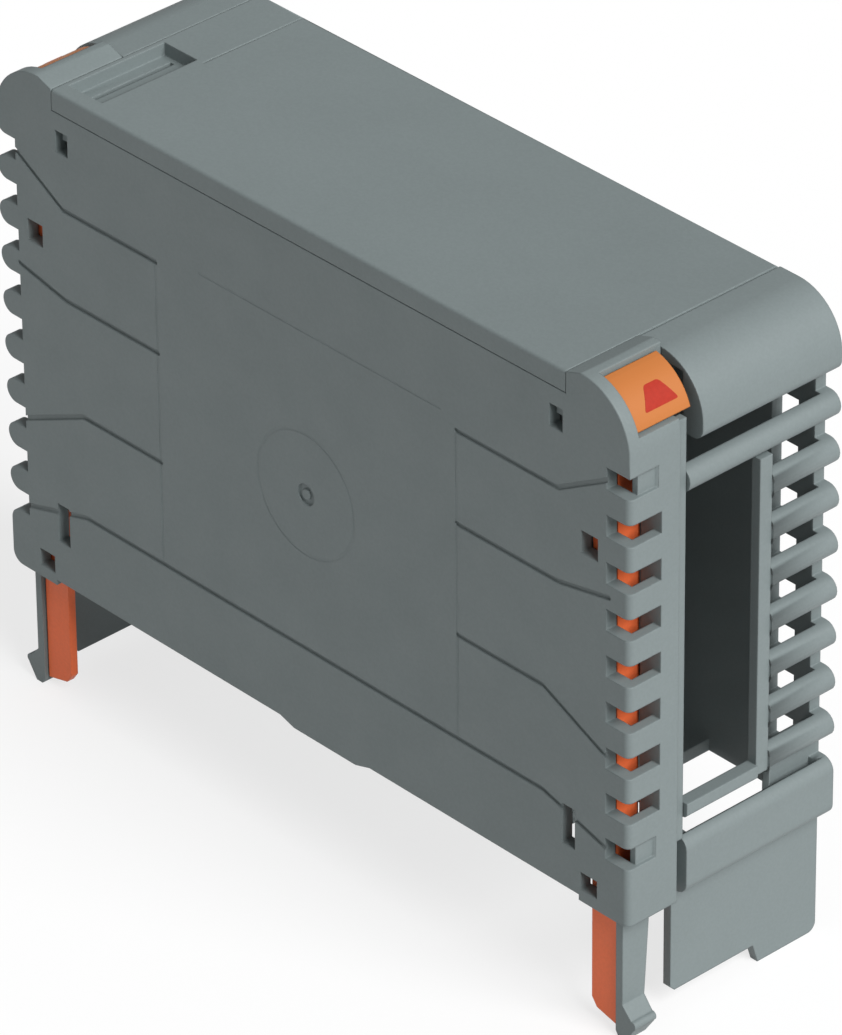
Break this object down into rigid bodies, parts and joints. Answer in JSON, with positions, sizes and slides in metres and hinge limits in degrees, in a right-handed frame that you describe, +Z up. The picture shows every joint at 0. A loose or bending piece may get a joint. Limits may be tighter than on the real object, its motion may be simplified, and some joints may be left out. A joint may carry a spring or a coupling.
{
  "type": "din rail enclosure",
  "caption": "Tall slim two-shell electronics housing with ribbed vented ends, clip-on lid, snap hooks and two sliding locking bars.",
  "frame": {"origin": "middle of the footprint, on the plane under the four feet", "axes": "+X along the length, -Y the near face with the two locking slides, +Z up"},
  "size_m": [0.13, 0.04, 0.1065],
  "materials": {
    "shell_grey": "fine moulded matt texture",
    "slide_orange": "smooth moulded satin"
  },
  "bodies": {
    "housing": {"near_shell": "shell_grey", "far_shell": "shell_grey", "top_lid": "shell_grey"},
    "front_slide": {"front_slide": "slide_orange"},
    "rear_slide": {"rear_slide": "slide_orange"}
  },
  "joints": [
    {"name": "front_slide_lift", "type": "slide", "parent": "housing", "child": "front_slide", "axis": [0, 0, 1], "range_m": [0, 0.004]},
    {"name": "rear_slide_lift", "type": "slide", "parent": "housing", "child": "rear_slide", "axis": [0, 0, 1], "range_m": [0, 0.004]}
  ]
}
